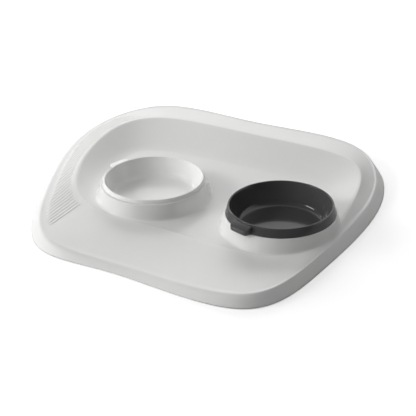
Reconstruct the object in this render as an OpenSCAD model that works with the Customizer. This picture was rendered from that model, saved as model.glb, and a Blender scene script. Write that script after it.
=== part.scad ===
// Double pet bowl: a moulded tray with a sunk basin, two raised round seats,
// two lift-out bowls and four soft feet.
// Millimetres, +Z up. The origin is the middle of the tray on the ground.

/* [Tray] */
// Overall width of the tray
tray_w = 438; // [420:1:520]
// Overall depth of the tray
tray_d = 418; // [405:1:500]
// Highest point of the deck above the ground
deck_h = 27; // [24:0.5:34]
// Height of the basin floor above the ground
floor_h = 9.7; // [9:0.1:11]
// Thickness of the moulded wall
shell_t = 2.6; // [2:0.1:3]
// How far the outer wall leans out on its way down
wall_flare = 9.4; // [6:0.1:12]
// Height of the tray's lower edge above the ground
edge_gap = 1; // [0.5:0.1:1.5]
// Rounding between the deck and the outer wall
edge_round = 6; // [2:0.5:9]
// Rounding between the deck and the basin wall
lip_round = 8; // [3:0.5:12]
// Rounding between the basin wall and its floor
foot_round = 20; // [8:0.5:26]

/* [Seats] */
// Distance between the middles of the two seats
seat_spacing = 172.7; // [168:0.1:185]
// How far the seat's shoulder reaches beyond a bowl's rim
shoulder_out = 5; // [4.8:0.1:8]
// Height of the shoulder above the basin floor
shoulder_h = 18.6; // [17:0.1:26]
// How far the seat spreads from its shoulder to the basin floor
seat_spread = 5; // [4:0.1:7]
// Rounding where the seat meets the basin floor
seat_round = 6; // [2:0.5:7]
// Rounding of the shoulder's edge
shoulder_round = 0.7; // [0.3:0.1:0.8]

/* [Bowls] */
// Radius of a bowl at the top of its rim
bowl_r = 60; // [59:0.1:60.5]
// Inside depth of a bowl below the shoulder
bowl_drop = 18; // [14:0.1:18.5]
// How much smaller than its rim a bowl is at its floor, in radius
bowl_taper = 9; // [8:0.5:16]
// Thickness of a bowl's wall
bowl_t = 2.2; // [1.6:0.1:2.4]
// Rounding between a bowl's wall and floor
bowl_round = 7; // [3:0.5:10]
// Height of the white bowl's rim above the shoulder
white_rim_h = 4.5; // [4:0.1:8]
// How far the white bowl's skirt stands out beyond its rim
white_skirt_out = 2.5; // [2.2:0.1:4]
// Height of the grey bowl's rim above the shoulder
grey_rim_h = 10.2; // [8:0.1:14]
// How far the grey bowl's skirt stands out beyond its rim
grey_skirt_out = 4.1; // [3:0.1:4.2]
// Thickness of a skirt
skirt_t = 1.8; // [1.2:0.1:1.9]
// Gap between a bowl and its seat
bowl_gap = 0.6; // [0.4:0.1:0.8]

/* [Tabs] */
// Width of a finger tab
tab_w = 27; // [18:0.5:36]
// How far a finger tab reaches beyond its bowl's rim
tab_out = 11.5; // [9:0.5:16]
// Thickness of a finger tab at its outer end
tab_end_share = 0.6; // [0.4:0.05:0.75]
// Direction of the white bowl's tab
white_tab_turn = 163; // [90:1:200]
// Direction of the grey bowl's tab
grey_tab_turn = 254; // [200:1:330]

/* [Feet] */
// Radius of a soft foot
foot_r = 8; // [6:0.1:8.5]
// Height of a soft foot's pad
foot_h = 3; // [2:0.1:3.5]
// Radius of the stud that holds a foot
stud_r = 3; // [2:0.1:3.5]
// Length of that stud
stud_l = 4; // [2:0.1:5]

/* [Hidden] */

// Control points of the tray's outer edge: places as shares of half the width
// and depth, height as a share of the deck's height.
edge_shares = [
    [0.00, -0.92, 0.11], [0.93, -1.10, 0.59], [0.98, -0.47, 0.46], [1.04, 0.44, 0.41],
    [0.65, 1.11, 0.74], [-0.08, 0.90, 0.91], [-0.82, 1.07, 0.91], [-1.09, 0.35, 0.78],
    [-0.84, -0.34, 0.43], [-0.47, -1.07, 0.63]];
// The same for the lip, where the deck turns down into the basin
lip_shares = [
    [0.09, -0.48, 0.38], [0.81, -0.58, 0.34], [0.93, -0.19, 0.59], [0.87, 0.18, 0.62],
    [0.79, 0.75, 0.92], [0.08, 0.67, 1.02], [-0.70, 0.74, 0.99], [-0.85, 0.33, 1.03],
    [-0.66, -0.34, 0.77], [-0.34, -0.54, 0.32]];
// The same for the foot of the basin wall, which lies on the floor
basin_shares = [
    [0.09, -0.45], [0.79, -0.54], [0.86, -0.20], [0.71, 0.19], [0.70, 0.43],
    [0.07, 0.43], [-0.58, 0.39], [-0.63, 0.18], [-0.55, -0.26], [-0.33, -0.53]];
// Middle of the two seats, as shares of half the width and depth
seat_mid_share = [0.223, -0.168];
// Feet: place along the outline in control points, and share of the way inward
foot_places_share = [[8.95, 0.28], [1.35, 0.34], [6.2, 0.5], [4.0, 0.45]];

overrun = 0.4;
under_shift = 8;
curve_steps = 10;
bend_steps = 3;
profile_steps = 6;
$fn = 96;

shoulder_r = bowl_r + shoulder_out;
seat_foot_r = shoulder_r + seat_spread;
bowl_floor_r = bowl_r - bowl_taper;
white_skirt_r = bowl_r + white_skirt_out;
grey_skirt_r = bowl_r + grey_skirt_out;
tab_reach = bowl_r + tab_out;

controls = len(edge_shares);
stations = controls * curve_steps;
half = [tray_w, tray_d] / 2;

// A point on the closed cubic B-spline through a list of control points
function knot(list, i) = list[(i + len(list)) % len(list)];
function spline(list, t) =
    let (i = floor(t), u = t - i, v = 1 - u)
    (v * v * v * knot(list, i - 1)
     + (3 * u * u * u - 6 * u * u + 4) * knot(list, i)
     + (3 * v * v * v - 6 * v * v + 4) * knot(list, i + 1)
     + u * u * u * knot(list, i + 2)) / 6;

// The outline is shifted and scaled so that it fills the overall size exactly
raw_edge = [for (i = [0 : stations - 1]) spline(edge_shares, i / curve_steps)];
raw_x = [for (p = raw_edge) p.x];
raw_y = [for (p = raw_edge) p.y];
raw_mid = [max(raw_x) + min(raw_x), max(raw_y) + min(raw_y)] / 2;
raw_size = [max(raw_x) - min(raw_x), max(raw_y) - min(raw_y)];
function placed(p) = [
    (p.x - raw_mid.x) * tray_w / raw_size.x,
    (p.y - raw_mid.y) * tray_d / raw_size.y];

function inward(t) =
    let (a = placed(spline(edge_shares, t + 0.05)), b = placed(spline(edge_shares, t - 0.05)), d = a - b)
    [-d.y, d.x] / norm(d);
function ground_point(t, inset, z) =
    let (p = placed(spline(edge_shares, t)) + inward(t) * inset)
    [p.x, p.y, z];
function edge_point(t, inset, drop) =
    let (p = placed(spline(edge_shares, t)) + inward(t) * (wall_flare + inset))
    [p.x, p.y, spline(edge_shares, t).z * deck_h - drop];
function lip_point(t, drop) =
    let (s = spline(lip_shares, t), p = placed(s))
    [p.x, p.y, max(floor_h, s.z * deck_h) - drop];
function basin_point(t, drop) =
    let (p = placed(spline(basin_shares, t)))
    [p.x, p.y, floor_h - drop];
function floor_point(t, drop) =
    let (p = basin_point(t, drop), c = [seat_mid.x, p.y * 0.2, p.z])
    p + (c - p) / norm(c - p) * foot_round;

// In front the underside stays level until it is clear of the seats
function under_move(t) =
    let (p = placed(spline(basin_shares, t)), share = min(1, max(0, -p.y / half.y * 5 - 1)),
         d = -inward(t) * under_shift * share)
    [d.x, d.y, 0];

// A corner eased by a short curve; cut is how far the curve reaches each way
function bend(a, p, b, cut, steps) =
    cut == 0 ? [p] :
    let (u = p + (a - p) / norm(a - p) * min(cut, norm(a - p) * 0.45),
         v = p + (b - p) / norm(b - p) * min(cut, norm(b - p) * 0.45))
    [for (k = [0 : steps]) let (s = k / steps, r = 1 - s) r * r * u + 2 * r * s * p + s * s * v];
// A closed outline with its corners eased
function eased(points, cuts) = [
    for (i = [0 : len(points) - 1])
        each bend(points[(i + len(points) - 1) % len(points)], points[i],
                  points[(i + 1) % len(points)], cuts[i], profile_steps)];

seat_mid = placed(seat_mid_share);
left_seat = seat_mid - [seat_spacing / 2, 0];
right_seat = seat_mid + [seat_spacing / 2, 0];
shoulder_z = floor_h + shoulder_h;

// One section of the tray, from the basin floor over the deck, down the outer
// wall to its lower edge, and back inside under the deck
function section(t) = [
    each bend(floor_point(t, 0), basin_point(t, 0), lip_point(t, 0), foot_round, bend_steps),
    each bend(basin_point(t, 0), lip_point(t, 0), edge_point(t, 0, 0), lip_round, bend_steps),
    each bend(lip_point(t, 0), edge_point(t, 0, 0), ground_point(t, 0, edge_gap), edge_round, bend_steps),
    ground_point(t, 0, edge_gap),
    ground_point(t, shell_t, edge_gap),
    edge_point(t, shell_t, shell_t),
    lip_point(t, shell_t) + under_move(t),
    each bend(lip_point(t, shell_t) + under_move(t), basin_point(t, shell_t) + under_move(t),
              floor_point(t, shell_t), foot_round * 0.3, 2)];

module tray_shell() {
    sections = [for (i = [0 : stations - 1]) section(i / curve_steps)];
    rings = len(sections[0]);
    points = [for (j = [0 : rings - 1]) for (i = [0 : stations - 1]) sections[i][j]];
    skin = [
        for (j = [0 : rings - 2]) for (i = [0 : stations - 1])
            let (n = (i + 1) % stations,
                 a = j * stations + i, b = j * stations + n,
                 c = (j + 1) * stations + n, d = (j + 1) * stations + i)
            each [[a, b, c], [a, c, d]]];
    top = [for (i = [0 : stations - 1]) stations - 1 - i];
    under = [for (i = [0 : stations - 1]) (rings - 1) * stations + i];
    polyhedron(points, concat(skin, [top, under]));
}

bowl_ring_h = 1;

// The seat stands on the basin floor as a hollow cone with a closed well in it
seat_lean = (seat_foot_r - shoulder_r) / shoulder_h;
well_mouth_r = white_skirt_r - skirt_t - bowl_gap;
well_drop = bowl_drop + bowl_t + bowl_ring_h + bowl_gap;
well_floor_r = bowl_floor_r + bowl_t + bowl_gap * 2;

module seat_shell() {
    low_z = floor_h - shell_t / 2;
    toe_r = seat_foot_r + seat_round;
    rotate_extrude() polygon(eased([
        [toe_r, low_z],
        [toe_r, floor_h - overrun / 4],
        [seat_foot_r, floor_h],
        [shoulder_r, shoulder_z],
        [well_mouth_r, shoulder_z],
        [well_floor_r, shoulder_z - well_drop],
        [0, shoulder_z - well_drop],
        [0, shoulder_z - well_drop - shell_t],
        [well_floor_r - shell_t / 2, shoulder_z - well_drop - shell_t],
        [well_mouth_r + shell_t, shoulder_z - shell_t],
        [shoulder_r - shell_t, shoulder_z - shell_t],
        [seat_foot_r + seat_lean * shell_t / 2 - shell_t, low_z]],
        [0, 0, seat_round, shoulder_round, shoulder_round, bowl_round / 2, 0, 0, bowl_round / 2, 0, 0, 0]));
}

// What is cut out of the deck under a seat: the cone's hollow and half its wall
module seat_hollow() {
    translate([0, 0, -overrun])
        cylinder(r1 = seat_foot_r - shell_t / 2 + seat_lean * (floor_h + overrun),
                 r2 = shoulder_r - shell_t / 2 - seat_lean * shell_t,
                 h = shoulder_z + shell_t + overrun);
}

// The right seat's foot ends short of the outer wall
module right_trim() {
    reach = half.x - wall_flare - shell_t / 2;
    translate([-half.x, -half.y, 0]) cube([half.x + reach, tray_d, shoulder_z + overrun]);
}

function foot_station(k) = foot_places_share[k][0];
function foot_surface(k) =
    let (t = foot_station(k), s = foot_places_share[k][1],
         a = edge_point(t, 0, 0), b = lip_point(t, 0))
    a + (b - a) * s;

module foot_boss(k) {
    top = foot_surface(k);
    translate([top.x, top.y, foot_h]) difference() {
        cylinder(r = foot_r, h = top.z - shell_t / 2 - foot_h);
        translate([0, 0, -overrun]) cylinder(r = stud_r, h = stud_l + overrun);
    }
}

module tray() {
    color("whitesmoke") {
        difference() {
            tray_shell();
            translate(left_seat) seat_hollow();
            translate(right_seat) seat_hollow();
        }
        translate(left_seat) seat_shell();
        intersection() {
            translate(right_seat) seat_shell();
            right_trim();
        }
        for (k = [0 : len(foot_places_share) - 1]) foot_boss(k);
    }
}

// A bowl, with the shoulder on which it stands at height zero
rim_t = skirt_t * 1.5;
module bowl_body(rim_h, skirt_r) {
    wall_top_r = bowl_r - rim_t / 2;
    wall_lean = (wall_top_r - bowl_floor_r) / (rim_h + bowl_drop);
    skirt_lean = (skirt_r - bowl_r - rim_t / 2) / (rim_h - rim_t / 2);
    ring_r = bowl_floor_r * 0.8;
    outer_r = wall_top_r - wall_lean * rim_h + bowl_t;
    inner_r = skirt_r - skirt_t;
    groove_h = (inner_r - outer_r) / (wall_lean + skirt_lean);
    low_z = -bowl_drop - bowl_t;
    rotate_extrude() polygon(eased([
        [0, -bowl_drop],
        [0, low_z],
        [ring_r - bowl_t, low_z],
        [ring_r - bowl_t, low_z - bowl_ring_h],
        [ring_r, low_z - bowl_ring_h],
        [ring_r, low_z],
        [bowl_floor_r + bowl_t / 2, low_z],
        [outer_r, 0],
        [outer_r + wall_lean * groove_h, groove_h],
        [inner_r, 0],
        [skirt_r, 0],
        [bowl_r + rim_t / 2, rim_h - rim_t / 2],
        [bowl_r + rim_t / 4, rim_h],
        [bowl_r - rim_t / 4, rim_h],
        [wall_top_r, rim_h - rim_t / 2],
        [bowl_floor_r, -bowl_drop]],
        [0, 0, 0, 0, 0, 0, bowl_round, 0, 0, 0, 0, rim_t / 4, rim_t / 4, rim_t / 4, rim_t / 4, bowl_round]));
}

module tab(rim_h, skirt_r) {
    top_z = rim_h - rim_t / 2;
    end_z = top_z * tab_end_share;
    inner_r = skirt_r - skirt_t / 2;
    lift = bowl_gap / 2;
    corner_r = tab_w / 5;
    intersection() {
        rotate_extrude() polygon(eased([
            [inner_r, lift],
            [tab_reach - rim_t, lift],
            [tab_reach, lift + rim_t / 4],
            [tab_reach, end_z],
            [skirt_r, top_z - lift],
            [bowl_r, top_z - lift]],
            [0, rim_t / 2, rim_t / 4, rim_t / 3, 0, 0]));
        linear_extrude(rim_h) {
            translate([0, -tab_w / 2]) square([tab_reach - corner_r, tab_w]);
            translate([0, corner_r - tab_w / 2]) square([tab_reach + corner_r, tab_w - corner_r * 2]);
            for (side = [-1, 1])
                translate([tab_reach - corner_r * 0.9, side * (tab_w / 2 - corner_r)]) circle(corner_r);
        }
    }
}

module bowl(seat, rim_h, skirt_r, tab_turn) {
    translate([seat.x, seat.y, shoulder_z]) {
        bowl_body(rim_h, skirt_r);
        rotate(tab_turn) tab(rim_h, skirt_r);
    }
}

module white_bowl() {
    color("white") bowl(left_seat, white_rim_h, white_skirt_r, white_tab_turn);
}

module grey_bowl() {
    color("dimgray") bowl(right_seat, grey_rim_h, grey_skirt_r, grey_tab_turn);
}

module soft_foot(k) {
    place = foot_surface(k);
    color("darkgray") translate([place.x, place.y, 0]) {
        cylinder(r = foot_r, h = foot_h);
        translate([0, 0, foot_h - overrun]) cylinder(r = stud_r - bowl_gap / 12, h = stud_l);
    }
}

module foot_front_left() { soft_foot(0); }
module foot_front_right() { soft_foot(1); }
module foot_back_left() { soft_foot(2); }
module foot_back_right() { soft_foot(3); }

tray();
white_bowl();
grey_bowl();
foot_front_left();
foot_front_right();
foot_back_left();
foot_back_right();
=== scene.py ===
"""Double pet bowl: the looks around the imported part.

Sizes are in millimetres until a mesh is made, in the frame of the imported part:
x to the right, y to the back, z up from the ground. Lamps, the camera and the
depth of a material's grain are in metres.
"""

import math
from collections import Counter

import bpy
import numpy as np
from mathutils import Matrix, Vector
from mathutils.bvhtree import BVHTree
from mathutils.geometry import delaunay_2d_cdt


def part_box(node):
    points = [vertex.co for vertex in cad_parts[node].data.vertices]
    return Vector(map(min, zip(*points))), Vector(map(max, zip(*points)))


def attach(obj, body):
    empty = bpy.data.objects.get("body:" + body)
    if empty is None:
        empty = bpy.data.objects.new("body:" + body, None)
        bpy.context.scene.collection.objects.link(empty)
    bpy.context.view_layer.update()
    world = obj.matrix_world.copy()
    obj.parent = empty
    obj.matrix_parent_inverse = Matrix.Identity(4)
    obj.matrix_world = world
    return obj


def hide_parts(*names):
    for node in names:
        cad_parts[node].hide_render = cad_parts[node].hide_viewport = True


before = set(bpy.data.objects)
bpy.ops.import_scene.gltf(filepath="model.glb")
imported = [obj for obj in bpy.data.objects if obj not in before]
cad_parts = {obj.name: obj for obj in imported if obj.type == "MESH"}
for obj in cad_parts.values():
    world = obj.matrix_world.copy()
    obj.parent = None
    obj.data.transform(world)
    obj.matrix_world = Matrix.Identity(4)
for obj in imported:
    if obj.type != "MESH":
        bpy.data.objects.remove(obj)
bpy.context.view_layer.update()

MM = 0.001

# Sizes that are the same in the part's source

TRAY_W, TRAY_D = 438.0, 418.0
DECK_H, FLOOR_H = 27.0, 9.7
WALL_FLARE = 9.4
EDGE_GAP, EDGE_ROUND = 1.0, 6.0
SEAT_SPACING, SEAT_FOOT_R = 172.7, 70.0
SHOULDER_R, SHOULDER_H, SHOULDER_ROUND = 65.0, 18.6, 0.7
BOWL_R, BOWL_DROP, BOWL_FLOOR_R = 60.0, 18.0, 51.0
BOWL_T, BOWL_ROUND, BOWL_GAP = 2.2, 7.0, 0.6
BOWL_RING_H, BOWL_RING_SHARE = 1.0, 0.8
SKIRT_T = 1.8
RIM_T = SKIRT_T * 1.5
WHITE_RIM_H, WHITE_SKIRT_R, WHITE_TAB_TURN = 4.5, 62.5, 163.0
GREY_RIM_H, GREY_SKIRT_R, GREY_TAB_TURN = 10.2, 64.1, 254.0
TAB_W, TAB_REACH, TAB_END_SHARE = 27.0, 71.5, 0.6
TAB_CORNER, TAB_UNDER = TAB_W / 5, BOWL_GAP / 2
FOOT_R, FOOT_H = 8.0, 3.0
STUD_R, STUD_L = 3.0, 4.0
FEET = ("foot_front_left", "foot_front_right", "foot_back_left", "foot_back_right")

# Control points of the outer edge and of the lip: places as shares of half the
# width and depth, height as a share of the deck's height
EDGE_SHARES = (
    (0.00, -0.92, 0.11), (0.93, -1.10, 0.59), (0.98, -0.47, 0.46), (1.04, 0.44, 0.41),
    (0.65, 1.11, 0.74), (-0.08, 0.90, 0.91), (-0.82, 1.07, 0.91), (-1.09, 0.35, 0.78),
    (-0.84, -0.34, 0.43), (-0.47, -1.07, 0.63))
LIP_SHARES = (
    (0.09, -0.48, 0.38), (0.81, -0.58, 0.34), (0.93, -0.19, 0.59), (0.87, 0.18, 0.62),
    (0.79, 0.75, 0.92), (0.08, 0.67, 1.02), (-0.70, 0.74, 0.99), (-0.85, 0.33, 1.03),
    (-0.66, -0.34, 0.77), (-0.34, -0.54, 0.32))
# The same for the foot of the basin wall, which lies on the floor
BASIN_SHARES = (
    (0.09, -0.45), (0.79, -0.54), (0.86, -0.20), (0.71, 0.19), (0.70, 0.43),
    (0.07, 0.43), (-0.58, 0.39), (-0.63, 0.18), (-0.55, -0.26), (-0.33, -0.53))
SEAT_MID_SHARE = (0.223, -0.168)

# Sizes of the scene alone: its thin trim, its own roundings, and a shell a
# little thinner than the source's

FRONT_STEP = 0.6
CURL_H, CURL_W, CURL_SHARE, CURL_ROUND = 1.2, 7.5, 0.4, 2.5
LIP_ROUND, FOOT_ROUND, SEAT_BLEND = 4.0, 16.0, 3.0
SKIN_T = 2.2
SKIRT_ROUND, SMALL_ROUND, TAB_BEVEL = 0.4, 0.3, 0.9

# Fineness of the meshes

FIT_STEPS = 10
STATIONS = 400
WALL_STEPS, EDGE_STEPS, CURL_GAP_STEPS, CURL_STEPS, DECK_STEPS = 5, 9, 2, 6, 22
LIP_STEPS, SLOPE_STEPS, FOOT_STEPS = 8, 10, 8
PROFILE_STEPS = 6
SEAT_TURNS, BOWL_TURNS, BOSS_TURNS = 256, 192, 48
TAB_CORNER_STEPS, TAB_BEVEL_STEPS, TAB_BEVEL_ANGLE = 8, 4, 40

# Round each seat there are close rings of points out to DISC_R, then looser
# ones, and from CLEAR_R on the deck's own grid, which has a gap between the
# seats. The outer wall's grid comes closer to a seat, to NEAR_R.

WELL_RING_SHARES = (0.33, 0.66)
DISC_R, DISC_STEP = 72.0, 0.5
BAND_RINGS = (73.0, 74.0, 75.0, 76.0, 77.0, 78.5, 80.0, 82.0, 84.5)
OWN_MARGIN = 0.5
CLEAR_R, NEAR_R = 86.5, 73.6
BLEND_BEYOND = 12
BRIDGE_HALF_D = 62

# Limits and small numbers of the calculations

TANGENT_STEP = 0.05
MOST_OF_A_SIDE = 0.45
FLOOR_PULL = 0.2
ABOVE_ALL = 99
BLEND_ROUNDS = 14
TINY, TINIER, TINIEST = 1e-6, 1e-9, 1e-12


# Curves

def spline(points, t):
    """Points on a closed cubic B-spline; t counts control points."""
    p = np.array(points, float)
    t = np.atleast_1d(np.asarray(t, float))
    i = np.floor(t).astype(int)
    u = (t - i)[:, None]
    v = 1 - u
    n = len(p)
    return (
        v**3 * p[(i - 1) % n]
        + (3 * u**3 - 6 * u * u + 4) * p[i % n]
        + (3 * v**3 - 6 * v * v + 4) * p[(i + 1) % n]
        + u**3 * p[(i + 2) % n]
    ) / 6


HALF = np.array([TRAY_W, TRAY_D]) / 2
raw_edge = spline(EDGE_SHARES, np.arange(len(EDGE_SHARES) * FIT_STEPS) / FIT_STEPS)[:, :2]
RAW_MID = (raw_edge.max(0) + raw_edge.min(0)) / 2
RAW_SIZE = raw_edge.max(0) - raw_edge.min(0)


def placed(shares):
    """Shares of the half sizes as places on the ground plan."""
    shares = np.atleast_2d(np.asarray(shares, float))
    return (shares[:, :2] - RAW_MID) * HALF * 2 / RAW_SIZE


SEAT_MID = placed(SEAT_MID_SHARE)[0]
SEATS = (SEAT_MID - [SEAT_SPACING / 2, 0], SEAT_MID + [SEAT_SPACING / 2, 0])
SHOULDER_Z = FLOOR_H + SHOULDER_H


def unit(v):
    return v / np.linalg.norm(v, axis=-1, keepdims=True)


def inward(t):
    """Directions from the outer edge to the inside, on the ground plan."""
    ahead, behind = (placed(spline(EDGE_SHARES, t + s)) for s in (TANGENT_STEP, -TANGENT_STEP))
    d = ahead - behind
    return unit(np.stack([-d[:, 1], d[:, 0]], 1))


def with_z(xy, z):
    return np.column_stack([xy, np.broadcast_to(z, len(xy))])


def circle(count):
    """Points round a circle of radius 1."""
    a = np.arange(count) * 2 * math.pi / count
    return np.column_stack([np.cos(a), np.sin(a)])


def ease(a, p, b, cut, steps):
    """A corner p between a and b, eased by a short curve; steps + 1 points."""
    ta = np.minimum(cut, MOST_OF_A_SIDE * np.linalg.norm(a - p, axis=-1, keepdims=True))
    tb = np.minimum(cut, MOST_OF_A_SIDE * np.linalg.norm(b - p, axis=-1, keepdims=True))
    u, v = p + unit(a - p) * ta, p + unit(b - p) * tb
    return [(1 - k) ** 2 * u + 2 * k * (1 - k) * p + k * k * v
            for k in np.linspace(0, 1, steps + 1)]


def eased_profile(corners):
    """A closed outline with eased corners, from the radius, height and cut of each."""
    places = [np.array(c[:2], float) for c in corners]
    out = []
    for i, (_, _, cut) in enumerate(corners):
        a, p, b = (places[j % len(places)] for j in (i - 1, i, i + 1))
        out += [p] if cut == 0 else ease(a, p, b, cut, PROFILE_STEPS)
    return out


def between(a, b, steps):
    """Points from a to b without the two ends."""
    return [a + (b - a) * k / steps for k in range(1, steps)]


def deck_sections(t):
    """Sections of the tray from its lower edge to the basin floor, ring by ring.

    The second value counts the rings of the outer wall and its rounding, and
    the third is the ring along the middle of the lip.
    """
    edge_share, lip_share = spline(EDGE_SHARES, t), spline(LIP_SHARES, t)
    outline = placed(edge_share)
    ground = with_z(outline, EDGE_GAP)
    edge = with_z(outline + inward(t) * WALL_FLARE, edge_share[:, 2] * DECK_H)
    lip = with_z(placed(lip_share), np.maximum(FLOOR_H + FRONT_STEP, lip_share[:, 2] * DECK_H))
    wide = np.linalg.norm(lip - edge, axis=1, keepdims=True)
    share = np.minimum(1, wide * CURL_SHARE / CURL_W)
    curl = edge + (lip - edge) / wide * CURL_W * share - share * [0, 0, CURL_H]
    basin = with_z(placed(spline(BASIN_SHARES, t)), FLOOR_H)
    middle = np.column_stack([
        np.full(len(basin), SEAT_MID[0]), basin[:, 1] * FLOOR_PULL, basin[:, 2]])
    floor_end = basin + unit(middle - basin) * FOOT_ROUND
    edge_bend = ease(ground, edge, curl, EDGE_ROUND, EDGE_STEPS)
    curl_bend = ease(edge, curl, lip, CURL_ROUND, CURL_STEPS)
    lip_bend = ease(curl, lip, basin, LIP_ROUND, LIP_STEPS)
    foot_bend = ease(lip, basin, floor_end, FOOT_ROUND, FOOT_STEPS)
    rings = [ground, *between(ground, edge_bend[0], WALL_STEPS), *edge_bend]
    outer_count = len(rings)
    rings += between(edge_bend[-1], curl_bend[0], CURL_GAP_STEPS) + curl_bend
    rings += between(curl_bend[-1], lip_bend[0], DECK_STEPS) + lip_bend
    lip_mid = len(rings) - LIP_STEPS // 2 - 1
    rings += between(lip_bend[-1], foot_bend[0], SLOPE_STEPS) + foot_bend
    return np.array(rings), outer_count, lip_mid


def grid_faces(rows, cols, start=0):
    """Quads of a grid that closes on itself along its rows."""
    return [
        (start + j * cols + i, start + j * cols + (i + 1) % cols,
         start + (j + 1) * cols + (i + 1) % cols, start + (j + 1) * cols + i)
        for j in range(rows - 1) for i in range(cols)
    ]


def lathe_faces(rows, count, flip=False):
    """Faces between the rings of a turned shape; a row of one repeated point is a middle."""
    polygons = []
    for u, v in zip(rows[:-1], rows[1:]):
        for i in range(count):
            j = (i + 1) % count
            corners = (u[i], v[i], v[j], u[j]) if flip else (u[i], u[j], v[j], v[i])
            polygons.append(tuple(dict.fromkeys(corners)))
    return polygons


def vertex_normals(co, faces):
    """Normals of the points, weighted by the size of the faces round each."""
    n = np.zeros_like(co)
    for size in (3, 4):
        f = np.array([q for q in faces if len(q) == size])
        if len(f) == 0:
            continue
        cross = np.cross(co[f[:, 2]] - co[f[:, 0]], co[f[:, -1]] - co[f[:, 1]])
        for k in range(size):
            np.add.at(n, f[:, k], cross)
    return unit(n + TINIEST)


# The tray's upper skin, first as if it had no seats

t_all = np.arange(STATIONS) * len(EDGE_SHARES) / STATIONS
rings, outer_rings, lip_ring = deck_sections(t_all)
ring_count = len(rings)
deck_co = rings.reshape(-1, 3)
deck_quads = grid_faces(ring_count, STATIONS)
deck_n = vertex_normals(deck_co, deck_quads)
deck_tree = BVHTree.FromPolygons([Vector(c) for c in deck_co], deck_quads)
DOWN = Vector((0, 0, -1))


def deck_at(xy):
    """Height of the plain deck, upward share of its normal, and the ring hit.

    On the basin floor, inside the last ring, the ring given is ring_count.
    """
    z, nz, ring = np.full(len(xy), FLOOR_H), np.ones(len(xy)), np.full(len(xy), ring_count)
    for i, (x, y) in enumerate(xy):
        hit, normal, face, _ = deck_tree.ray_cast(Vector((x, y, ABOVE_ALL)), DOWN)
        if hit is not None:
            z[i], nz[i], ring[i] = hit.z, abs(normal.z), face // STATIONS
    return z, nz, ring


LEAN = (SEAT_FOOT_R - SHOULDER_R) / SHOULDER_H
CONE_SLOPE = LEAN / math.hypot(1, LEAN)


def blended(z, nz, r):
    """Height where the seat's cone and the deck run into each other softly."""
    cone = SHOULDER_Z - (r - SHOULDER_R) / LEAN
    h = np.maximum(z, cone)
    for _ in range(BLEND_ROUNDS):
        a, b = nz * (h - z), CONE_SLOPE * (h - cone)
        k = np.clip(SEAT_BLEND - np.abs(a - b), 0, None)
        value = np.minimum(a, b) - k * k / (4 * SEAT_BLEND)
        low = np.where(a < b, nz, CONE_SLOPE)
        high = np.where(a < b, CONE_SLOPE, nz)
        slope = low + (high - low) * k / (2 * SEAT_BLEND)
        h = h - value / np.maximum(slope, TINY)
    return h


def from_seats(xy):
    """Distances from the middles of the left and of the right seat."""
    return [np.hypot(*(xy - s).T) for s in SEATS]


def from_nearest_seat(xy):
    return np.minimum(*from_seats(xy))


for r in from_seats(deck_co[:, :2]):
    near = (r < CLEAR_R + BLEND_BEYOND) & (r > SHOULDER_R)
    deck_co[near, 2] = blended(deck_co[near, 2], deck_n[near, 2], r[near])

# Which of the deck's grid stays: all but what is near the seats or between them
nearest = from_nearest_seat(deck_co[:, :2])
ring_of = np.repeat(np.arange(ring_count), STATIONS)
bridge = (np.abs(deck_co[:, 0] - SEAT_MID[0]) < SEAT_SPACING / 2) & (
    np.abs(deck_co[:, 1] - SEAT_MID[1]) < BRIDGE_HALF_D)
keep = (nearest > CLEAR_R) & ~bridge
keep |= (nearest > NEAR_R) & (ring_of <= outer_rings)
kept_quads = [q for q in deck_quads if all(keep[list(q)])]

co = [tuple(c) for c in deck_co]
faces = list(kept_quads)

# The seats: a closed well, the shoulder, the cone, and the deck round it
WELL_MOUTH_R = WHITE_SKIRT_R - SKIRT_T - BOWL_GAP
WELL_DROP = BOWL_DROP + BOWL_T + BOWL_RING_H + BOWL_GAP
WELL_FLOOR_R = BOWL_FLOOR_R + BOWL_T + BOWL_GAP * 2
WELL_Z = SHOULDER_Z - WELL_DROP
seat_circle = circle(SEAT_TURNS)


def seat_ring(seat, r):
    """A ring on the blended deck at distance r from a seat, and the deck's rings there."""
    xy = seat + seat_circle * r
    h, nz, ring = deck_at(xy)
    return with_z(xy, blended(h, nz, np.full(len(xy), r))), ring


well_profile = eased_profile([
    (0, WELL_Z, 0), (WELL_FLOOR_R, WELL_Z, BOWL_ROUND / 2),
    (WELL_MOUTH_R, SHOULDER_Z, SHOULDER_ROUND), (SHOULDER_R, SHOULDER_Z, SHOULDER_ROUND),
    (SEAT_FOOT_R, FLOOR_H, 0)])[1:-1]
well_profile = [(well_profile[0][0] * k, WELL_Z) for k in WELL_RING_SHARES] + well_profile
disc_start = math.ceil(well_profile[-1][0] / DISC_STEP + 0.5) * DISC_STEP
disc_radii = np.arange(disc_start, DISC_R + DISC_STEP / 2, DISC_STEP)
loop_ids, loose_ids = [], []
for seat in SEATS:
    centre, first = len(co), len(co) + 1
    co.append((seat[0], seat[1], WELL_Z))
    for r, z in well_profile:
        co += [tuple(c) for c in with_z(seat + seat_circle * r, z)]
    for r in disc_radii:
        co += [tuple(c) for c in seat_ring(seat, r)[0]]
    last = len(co) - SEAT_TURNS
    faces += [(first + i, first + (i + 1) % SEAT_TURNS, centre) for i in range(SEAT_TURNS)]
    row_count = len(well_profile) + len(disc_radii)
    faces += [q[::-1] for q in grid_faces(row_count, SEAT_TURNS, first)]
    loop_ids.append([last + i for i in range(SEAT_TURNS)])
    for r in BAND_RINGS:
        points, ring = seat_ring(seat, r)
        own = from_nearest_seat(points[:, :2]) > r - OWN_MARGIN
        for c in points[own & (ring > outer_rings + 1)]:
            loose_ids.append(len(co))
            co.append(tuple(c))


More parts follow.
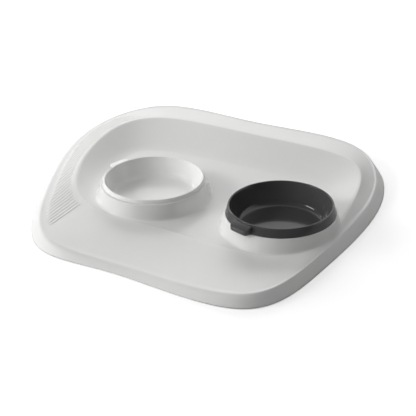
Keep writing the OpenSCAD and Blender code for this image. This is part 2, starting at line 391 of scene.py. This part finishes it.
def inside(places, edges):
    """Which places lie inside closed loops of edges, by the even-odd rule."""
    (x1, y1), (x2, y2) = edges[:, 0].T, edges[:, 1].T
    x, y = places[:, :1], places[:, 1:]
    crossed = (y1 > y) != (y2 > y)
    at_x = x1 + (y - y1) * (x2 - x1) / np.where(y1 == y2, TINIER, y2 - y1)
    return (crossed & (x < at_x)).sum(1) % 2 == 1


def facing_up(face):
    a, b, c = (np.array(co[v]) for v in face[:3])
    return (b - a)[0] * (c - a)[1] - (b - a)[1] * (c - a)[0] > 0


# The band between the kept grid and the seats is filled with triangles
edge_uses = Counter(tuple(sorted((q[i], q[(i + 1) % 4]))) for q in kept_quads for i in range(4))
rim_edges = [e for e, uses in edge_uses.items() if uses == 1 and max(e) >= STATIONS]
for loop in loop_ids:
    rim_edges += zip(loop, loop[1:] + loop[:1])
ids = sorted({i for e in rim_edges for i in e} | set(loose_ids))
local = {g: i for i, g in enumerate(ids)}
made = delaunay_2d_cdt(
    [Vector(co[i][:2]) for i in ids], [(local[a], local[b]) for a, b in rim_edges], [], 0, TINY)
made_faces, made_from = made[2], made[3]
origin = [o[0] if o else None for o in made_from]
fill = [tuple(ids[origin[v]] for v in f)
        for f in made_faces if all(origin[v] is not None for v in f)]
fill_middles = np.array([[sum(co[v][k] for v in f) / 3 for k in (0, 1)] for f in fill])
rim_ends = np.array([[co[a][:2], co[b][:2]] for a, b in rim_edges])
faces += [f for f, within in zip(fill, inside(fill_middles, rim_ends)) if within]
faces = [f if facing_up(f) else tuple(f[::-1]) for f in faces]

# Only the used points stay
used = sorted({v for f in faces for v in f})
renumber = {g: i for i, g in enumerate(used)}
co = np.array([co[v] for v in used])
faces = [tuple(renumber[v] for v in f) for f in faces]
skin_n = vertex_normals(co, faces)

# The matt finish covers the outer wall and the deck, up to the lip
middles = np.array([co[list(f), :2].mean(0) for f in faces])
matt_face = (deck_at(middles)[2] < lip_ring) & (from_nearest_seat(middles) > SEAT_FOOT_R)
matt_face = matt_face.tolist()

# The underside follows the skin, and a rim along the lower edge closes the shell
under = co - skin_n * SKIN_T
under[:, 2] = np.maximum(under[:, 2], EDGE_GAP)
total = len(co)
co = np.vstack([co, under])
lowest = [renumber[i] for i in range(STATIONS)]
tray_faces = faces + [tuple(v + total for v in f[::-1]) for f in faces]
tray_faces += [(b, a, a + total, b + total) for a, b in zip(lowest, lowest[1:] + lowest[:1])]


# Ribs on the left deck, each a low bar that fades out at both ends

RIB_PITCH, RIB_W, RIB_H, RIB_SINK = 4.5, 4.0, 0.6, 0.8
RIB_STEP, RIB_TAPER, RIB_MARGIN = 2.0, 4.0, 2.5
RIB_RIGHT, RIB_FRONT_RIGHT, RIB_FRONT_Y = -82.0, -99.0, -114.0
RIB_REACH_Y, RIB_FADE_FROM, RIB_FADE_TO = 180.0, 110.0, 155.0
RIB_BACK_Y, RIB_BACK_RIGHT, RIB_SHORTEST = 95.0, -125.0, 12.0
# How many of the deck's rings beyond the outer wall have no ribs
RIB_EDGE_RINGS = 4
# Where a rib fades out it goes this far under the deck
RIB_HIDE = 0.06
# Places across a rib, of which the outermost two are sunk by RIB_SINK
RIB_ACROSS = np.linspace(-0.5, 0.5, 9)
RIB_SIDES = np.abs(RIB_ACROSS) > 0.49


def smooth(v):
    v = np.clip(v, 0, 1)
    return v * v * (3 - 2 * v)


def runs(flags):
    """First and last index of each unbroken run of true flags."""
    n = len(flags)
    starts = [i for i in range(n) if flags[i] and (i == 0 or not flags[i - 1])]
    ends = [i for i in range(n) if flags[i] and (i == n - 1 or not flags[i + 1])]
    return zip(starts, ends)


def add_rib(points, polygons, x, ys):
    """One rib at x along the places ys, closed at its two ends and below."""
    taper = smooth(np.minimum(ys - ys[0], ys[-1] - ys) / RIB_TAPER)
    fade = smooth((ys - RIB_FADE_FROM) / (RIB_FADE_TO - RIB_FADE_FROM))
    xs = x + RIB_ACROSS * RIB_W
    first, rows, n = len(points), len(ys), len(xs)
    for y, h in zip(ys, RIB_H * taper * (1 - fade)):
        z, _, _ = deck_at(np.column_stack([xs, np.full(n, y)]))
        z += h * np.cos(RIB_ACROSS * math.pi) ** 2 - RIB_HIDE - RIB_SINK * RIB_SIDES
        points += [(a, y, c) for a, c in zip(xs, z)]
    for r in range(rows - 1):
        a, b = first + r * n, first + (r + 1) * n
        polygons += [(a + c, a + c + 1, b + c + 1, b + c) for c in range(n - 1)]
        polygons.append((a + n - 1, a, b, b + n - 1))
    polygons.append(tuple(range(first, first + n))[::-1])
    polygons.append(tuple(range(first + (rows - 1) * n, first + rows * n)))


def ribs():
    """Points and faces of all the ribs, from right to left."""
    points, polygons = [], []
    ys = np.arange(-RIB_REACH_Y, RIB_REACH_Y, RIB_STEP)
    x = RIB_RIGHT
    while x > -TRAY_W / 2:
        _, _, ring = deck_at(np.column_stack([np.full(len(ys), x), ys]))
        ribbed = (ring > outer_rings + RIB_EDGE_RINGS) & (ring < lip_ring - LIP_STEPS // 2)
        ribbed &= (ys > RIB_FRONT_Y) | (x < RIB_FRONT_RIGHT)
        ribbed &= ys < RIB_FADE_TO
        ribbed &= (ys < RIB_BACK_Y) | (x < RIB_BACK_RIGHT)
        for start, end in runs(ribbed):
            run = ys[start:end + 1]
            run = run[(run > run[0] + RIB_MARGIN) & (run < run[-1] - RIB_MARGIN)]
            if len(run) * RIB_STEP >= RIB_SHORTEST:
                add_rib(points, polygons, x, run)
        x -= RIB_PITCH
    return points, polygons


def make_object(name, points, polygons, material, body=None):
    mesh = bpy.data.meshes.new(name)
    mesh.from_pydata([Vector(p) * MM for p in points], [], polygons)
    mesh.validate()
    mesh.update()
    mesh.shade_smooth()
    obj = bpy.data.objects.new(name, mesh)
    bpy.context.scene.collection.objects.link(obj)
    mesh.materials.append(material)
    if body:
        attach(obj, body)
    return obj


# Materials

# The part of a noise's range that is used
NOISE_RANGE = (0.3, 0.7)
BROAD_SCALE, BROAD_DETAIL, BROAD_ROUGH = 14.0, 3.0, 0.5
FINE_DETAIL, FINE_ROUGH = 4.0, 0.6
PLASTIC_IOR = 1.49


def shader(name, color, roughness):
    mat = bpy.data.materials.new(name)
    mat.use_nodes = True
    nodes = mat.node_tree.nodes
    bsdf = nodes["Principled BSDF"]
    bsdf.inputs["Base Color"].default_value = (*color, 1)
    bsdf.inputs["Roughness"].default_value = roughness
    return mat, nodes, mat.node_tree.links, bsdf


def feed(links, socket, value):
    """Links another node's output to a socket, or sets the socket to a number."""
    if isinstance(value, bpy.types.NodeSocket):
        links.new(value, socket)
    else:
        socket.default_value = value


def spread(nodes, links, value, source, target, interpolation="LINEAR"):
    """A value brought from one range to another."""
    ramp = nodes.new("ShaderNodeMapRange")
    ramp.interpolation_type = interpolation
    feed(links, ramp.inputs["Value"], value)
    for side, start, end in zip(("Min", "Max"), source, target):
        feed(links, ramp.inputs["From " + side], start)
        feed(links, ramp.inputs["To " + side], end)
    return ramp.outputs["Result"]


def combined(nodes, links, operation, first, second):
    """The result of a Math node."""
    out = nodes.new("ShaderNodeMath")
    out.operation = operation
    feed(links, out.inputs[0], first)
    feed(links, out.inputs[1], second)
    return out.outputs["Value"]


def noise(nodes, links, scale, detail, rough):
    where = nodes.new("ShaderNodeTexCoord")
    tex = nodes.new("ShaderNodeTexNoise")
    tex.inputs["Scale"].default_value = scale
    tex.inputs["Detail"].default_value = detail
    tex.inputs["Roughness"].default_value = rough
    links.new(where.outputs["Object"], tex.inputs["Vector"])
    return tex.outputs["Fac"]


def tinted(nodes, links, value, dark, light):
    mix = nodes.new("ShaderNodeMix")
    mix.data_type = "RGBA"
    mix.inputs["A"].default_value = (*dark, 1)
    mix.inputs["B"].default_value = (*light, 1)
    links.new(value, mix.inputs["Factor"])
    return mix.outputs["Result"]


def bumped(nodes, links, bsdf, value, distance):
    bump = nodes.new("ShaderNodeBump")
    bump.inputs["Strength"].default_value = 1.0
    bump.inputs["Distance"].default_value = distance
    links.new(value, bump.inputs["Height"])
    links.new(bump.outputs["Normal"], bsdf.inputs["Normal"])


def moulded_plastic(name, dark, light, rough, grain, depth):
    """Plastic with a slight broad change of tone, and a grain of that fineness and depth."""
    mat, nodes, links, bsdf = shader(name, light, rough[1])
    broad = noise(nodes, links, BROAD_SCALE, BROAD_DETAIL, BROAD_ROUGH)
    fine = noise(nodes, links, grain, FINE_DETAIL, FINE_ROUGH)
    tone = spread(nodes, links, broad, NOISE_RANGE, (0, 1))
    links.new(tinted(nodes, links, tone, dark, light), bsdf.inputs["Base Color"])
    links.new(spread(nodes, links, fine, NOISE_RANGE, rough), bsdf.inputs["Roughness"])
    bumped(nodes, links, bsdf, fine, depth)
    bsdf.inputs["IOR"].default_value = PLASTIC_IOR
    return mat


TRAY_DARK, TRAY_LIGHT = (0.78, 0.78, 0.77), (0.80, 0.80, 0.79)
GLOSS_GRAIN, GLOSS_DEPTH = 900.0, 0.000002
tray_mat = moulded_plastic("tray_matt", TRAY_DARK, TRAY_LIGHT, (0.42, 0.50), 1800.0, 0.00002)
basin_mat = moulded_plastic(
    "tray_gloss", TRAY_DARK, TRAY_LIGHT, (0.08, 0.12), GLOSS_GRAIN, GLOSS_DEPTH)
white_mat = moulded_plastic(
    "bowl_white", (0.86, 0.86, 0.85), (0.88, 0.88, 0.87), (0.07, 0.10), GLOSS_GRAIN, GLOSS_DEPTH)
grey_mat = moulded_plastic(
    "bowl_grey", (0.068, 0.068, 0.070), (0.076, 0.076, 0.078), (0.08, 0.11),
    GLOSS_GRAIN, GLOSS_DEPTH)
rubber_mat = moulded_plastic(
    "foot_rubber", (0.18, 0.18, 0.18), (0.22, 0.22, 0.22), (0.75, 0.9), 2500.0, 0.00005)

# The tray with its ribs, the feet, and the bosses that carry the feet

tray = make_object("tray_shell", co, tray_faces, basin_mat, "tray")
tray.data.materials.append(tray_mat)
for face, matt in zip(tray.data.polygons, matt_face + matt_face + [True] * STATIONS):
    face.material_index = int(matt)
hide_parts("tray")
rib_points, rib_faces = ribs()
make_object("tray_ribs", rib_points, rib_faces, tray_mat, "tray")


def boss(x, y):
    """A boss under the deck at x, y, with the stud that holds a foot."""
    round_xy = circle(BOSS_TURNS)
    stud_z = FOOT_H + STUD_L
    points, rows = [], []
    # Where the height is None, the point is in the thickness of the shell
    for r, z in ((0, None), (FOOT_R, None), (FOOT_R, FOOT_H), (STUD_R, FOOT_H),
                 (STUD_R, stud_z), (0, stud_z)):
        xy = [x, y] + round_xy[:1 if r == 0 else BOSS_TURNS] * r
        z = deck_at(xy)[0] - CURL_H - SKIN_T / 2 if z is None else np.full(len(xy), z)
        start = len(points)
        rows.append([start] * BOSS_TURNS if r == 0 else list(range(start, start + BOSS_TURNS)))
        points += [tuple(c) for c in with_z(xy, z)]
    return points, lathe_faces(rows, BOSS_TURNS, flip=True)


for name in FEET:
    foot_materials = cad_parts[name].data.materials
    foot_materials.clear()
    foot_materials.append(rubber_mat)
    low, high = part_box(name)
    points, polygons = boss((low[0] + high[0]) / 2 / MM, (low[1] + high[1]) / 2 / MM)
    make_object(name.replace("foot", "boss"), points, polygons, tray_mat, "tray")


# Bowls

def bowl_profile(rim_h, skirt_r):
    """Outline of a bowl, from the middle of its floor over the rim and back below.

    Heights are above the shoulder on which the bowl stands.
    """
    wall_top_r = BOWL_R - RIM_T / 2
    wall_lean = (wall_top_r - BOWL_FLOOR_R) / (rim_h + BOWL_DROP)
    skirt_lean = (skirt_r - BOWL_R - RIM_T / 2) / (rim_h - RIM_T / 2)
    ring_r = BOWL_FLOOR_R * BOWL_RING_SHARE
    outer_r = wall_top_r - wall_lean * rim_h + BOWL_T
    inner_r = skirt_r - SKIRT_T
    groove_h = (inner_r - outer_r) / (wall_lean + skirt_lean)
    low_z = -BOWL_DROP - BOWL_T
    q = RIM_T / 4
    return eased_profile([
        (0, -BOWL_DROP, 0), (BOWL_FLOOR_R, -BOWL_DROP, BOWL_ROUND),
        (wall_top_r, rim_h - RIM_T / 2, q * 2), (BOWL_R - q, rim_h, q), (BOWL_R + q, rim_h, q),
        (BOWL_R + RIM_T / 2, rim_h - RIM_T / 2, q * 2), (skirt_r, 0, SKIRT_ROUND),
        (inner_r, 0, SMALL_ROUND), (outer_r + wall_lean * groove_h, groove_h, SMALL_ROUND),
        (outer_r, 0, 0), (BOWL_FLOOR_R + BOWL_T / 2, low_z, BOWL_ROUND), (ring_r, low_z, 0),
        (ring_r, low_z - BOWL_RING_H, SMALL_ROUND),
        (ring_r - BOWL_T, low_z - BOWL_RING_H, SMALL_ROUND),
        (ring_r - BOWL_T, low_z, 0), (0, low_z, 0)])


def revolved(profile, count, centre, z0):
    """Points and faces of a profile turned round a vertical line."""
    points, rows = [], []
    angles = np.arange(count) * 2 * math.pi / count
    for r, z in profile:
        start = len(points)
        if r < TINY:
            rows.append([start] * count)
            points.append((centre[0], centre[1], z0 + z))
        else:
            rows.append(list(range(start, start + count)))
            points += [(centre[0] + r * math.cos(a), centre[1] + r * math.sin(a), z0 + z)
                       for a in angles]
    return points, lathe_faces(rows, count)


def make_tab(name, seat, turn, rim_h, skirt_r, material, body):
    """A rounded block that reaches out from under the rim, with its top falling outwards."""
    top_z = rim_h - RIM_T / 2
    end_z = top_z * TAB_END_SHARE
    inner_r = skirt_r - SKIRT_T
    plan = [(inner_r, -TAB_W / 2)]
    for side, start in ((-1, -90), (1, 0)):
        for k in range(TAB_CORNER_STEPS + 1):
            a = math.radians(start + 90 / TAB_CORNER_STEPS * k)
            plan.append((TAB_REACH - TAB_CORNER + TAB_CORNER * math.cos(a),
                         side * (TAB_W / 2 - TAB_CORNER) + TAB_CORNER * math.sin(a)))
    plan.append((inner_r, TAB_W / 2))
    slope = (end_z - top_z) / (TAB_REACH - skirt_r)
    tops = [top_z + (x - skirt_r) * slope for x, _ in plan]
    c, s = math.cos(math.radians(turn)), math.sin(math.radians(turn))
    n = len(plan)
    points = []
    for heights in ([TAB_UNDER] * n, tops):
        points += [(seat[0] + x * c - y * s, seat[1] + x * s + y * c, SHOULDER_Z + z)
                   for (x, y), z in zip(plan, heights)]
    polygons = [tuple(range(n))[::-1], tuple(range(n, 2 * n))]
    polygons += [(i, (i + 1) % n, n + (i + 1) % n, n + i) for i in range(n)]
    tab = make_object(name, points, polygons, material, body)
    bevel = tab.modifiers.new("edges", "BEVEL")
    bevel.width = TAB_BEVEL * MM
    bevel.segments = TAB_BEVEL_STEPS
    bevel.limit_method = "ANGLE"
    bevel.angle_limit = math.radians(TAB_BEVEL_ANGLE)


for node, slot, seat, rim_h, skirt_r, turn, material in (
    ("white_bowl", "white_plastic", SEATS[0], WHITE_RIM_H, WHITE_SKIRT_R, WHITE_TAB_TURN,
     white_mat),
    ("grey_bowl", "grey_plastic", SEATS[1], GREY_RIM_H, GREY_SKIRT_R, GREY_TAB_TURN,
     grey_mat),
):
    points, polygons = revolved(bowl_profile(rim_h, skirt_r), BOWL_TURNS, seat, SHOULDER_Z)
    bowl = make_object(node + "_dish", points, polygons, material, node)
    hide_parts(node)
    make_tab(node + "_tab", seat, turn, rim_h, skirt_r, material, node)

# Floor and background

FLOOR_COLOR, FLOOR_ROUGH, FLOOR_REACH = (0.8, 0.8, 0.8), 0.9, 4000.0
# What only the camera sees added to the floor, so that it looks nearly white
FLOOR_GLOW = 0.5
WORLD_LIGHT = 0.02
# Gloss sees a dim room in front of the object and the white backdrop behind it,
# with a soft change between these two places on the y axis of its direction
GLOSS_FRONT, GLOSS_BACK = 0.03, 1.0
ROOM_FRONT, ROOM_BACK = -0.1, 0.5
WHITE = (1, 1, 1, 1)


def floor_material():
    mat, nodes, links, bsdf = shader("floor", FLOOR_COLOR, FLOOR_ROUGH)
    path = nodes.new("ShaderNodeLightPath")
    glow = nodes.new("ShaderNodeEmission")
    glow.inputs["Color"].default_value = WHITE
    seen = combined(nodes, links, "MULTIPLY", path.outputs["Is Camera Ray"], FLOOR_GLOW)
    links.new(seen, glow.inputs["Strength"])
    both = nodes.new("ShaderNodeAddShader")
    links.new(bsdf.outputs["BSDF"], both.inputs[0])
    links.new(glow.outputs["Emission"], both.inputs[1])
    links.new(both.outputs["Shader"], nodes["Material Output"].inputs["Surface"])
    return mat


def studio_world():
    """White for the camera, a dim even light, and the room that gloss sees."""
    world = bpy.data.worlds.new("studio")
    world.use_nodes = True
    nodes, links = world.node_tree.nodes, world.node_tree.links
    path = nodes.new("ShaderNodeLightPath")
    where = nodes.new("ShaderNodeTexCoord")
    axes = nodes.new("ShaderNodeSeparateXYZ")
    links.new(where.outputs["Generated"], axes.inputs["Vector"])
    room = spread(nodes, links, axes.outputs["Y"], (ROOM_FRONT, ROOM_BACK),
                  (GLOSS_FRONT, GLOSS_BACK), "SMOOTHSTEP")
    light = spread(nodes, links, path.outputs["Is Glossy Ray"], (0, 1), (WORLD_LIGHT, room))
    white = combined(nodes, links, "MAXIMUM", path.outputs["Is Camera Ray"],
                     path.outputs["Is Transmission Ray"])
    back = nodes["Background"]
    back.inputs["Color"].default_value = WHITE
    links.new(combined(nodes, links, "MAXIMUM", white, light), back.inputs["Strength"])
    return world


floor = make_object(
    "floor", [(-FLOOR_REACH, -FLOOR_REACH, 0), (FLOOR_REACH, -FLOOR_REACH, 0),
              (FLOOR_REACH, FLOOR_REACH, 0), (-FLOOR_REACH, FLOOR_REACH, 0)],
    [(0, 1, 2, 3)], floor_material())

scene = bpy.context.scene
scene.world = studio_world()

# Lamps: azimuth round the object and elevation in degrees, then width, height
# and power. All stand LAMP_FAR from the origin and face it.

LAMP_FAR, LAMP_SIDE = 1.7, 1.3
LAMPS = (
    ("window", -150.0, 15.0, LAMP_SIDE, LAMP_SIDE, 29.0),
    ("back", 165.0, 15.0, LAMP_SIDE, LAMP_SIDE, 6.0),
    ("left_low", -60.0, 15.0, LAMP_SIDE, LAMP_SIDE, 20.0),
    ("front", -20.0, 50.0, LAMP_SIDE, LAMP_SIDE, 7.5),
    ("right", 75.0, 50.0, LAMP_SIDE, LAMP_SIDE, 3.0),
)
# Small lamps whose mirror images give the gloss its bright lines
STRIPS = (
    ("strip_front", -52.0, 29.0, 0.75, 0.22, 5.0),
    ("strip_left", -104.0, 22.0, 0.35, 0.2, 1.6),
)


def area_light(name, turn, height, size_x, size_y, power, seen_in_gloss):
    turn, height = math.radians(turn), math.radians(height)
    place = LAMP_FAR * Vector((
        math.sin(turn) * math.cos(height), -math.cos(turn) * math.cos(height), math.sin(height)))
    data = bpy.data.lights.new(name, "AREA")
    data.shape = "RECTANGLE"
    data.size, data.size_y = size_x, size_y
    data.energy = power
    lamp = bpy.data.objects.new(name, data)
    lamp.location = place
    lamp.rotation_mode = "QUATERNION"
    lamp.rotation_quaternion = (-place).to_track_quat("-Z", "Y")
    lamp.visible_glossy = seen_in_gloss
    scene.collection.objects.link(lamp)


for lamp in LAMPS:
    area_light(*lamp, seen_in_gloss=False)
for strip in STRIPS:
    area_light(*strip, seen_in_gloss=True)

# Camera, at the photograph's viewing angle

CAMERA_PLACE = (0.6584, -1.0806, 0.6468)
CAMERA_AZIMUTH, CAMERA_ELEVATION, CAMERA_ROLL = 30.66, 27.67, 1.335
FOCAL_PIXELS, IMAGE_PIXELS, SENSOR_MM = 1150.0, 416.0, 36.0


def photo_camera():
    az, el, roll = (math.radians(v) for v in (CAMERA_AZIMUTH, CAMERA_ELEVATION, CAMERA_ROLL))
    forward = Vector((-math.sin(az) * math.cos(el), math.cos(az) * math.cos(el), -math.sin(el)))
    level = Vector((math.cos(az), math.sin(az), 0))
    plumb = forward.cross(level)
    right = level * math.cos(roll) + plumb * math.sin(roll)
    down = plumb * math.cos(roll) - level * math.sin(roll)
    data = bpy.data.cameras.new("camera")
    data.lens = FOCAL_PIXELS / IMAGE_PIXELS * SENSOR_MM
    data.sensor_width = SENSOR_MM
    camera = bpy.data.objects.new("camera", data)
    scene.collection.objects.link(camera)
    camera.matrix_world = Matrix.Translation(CAMERA_PLACE) @ Matrix(
        (right, -down, -forward)).transposed().to_4x4()
    return camera


scene.camera = photo_camera()
scene.view_settings.view_transform = "Standard"
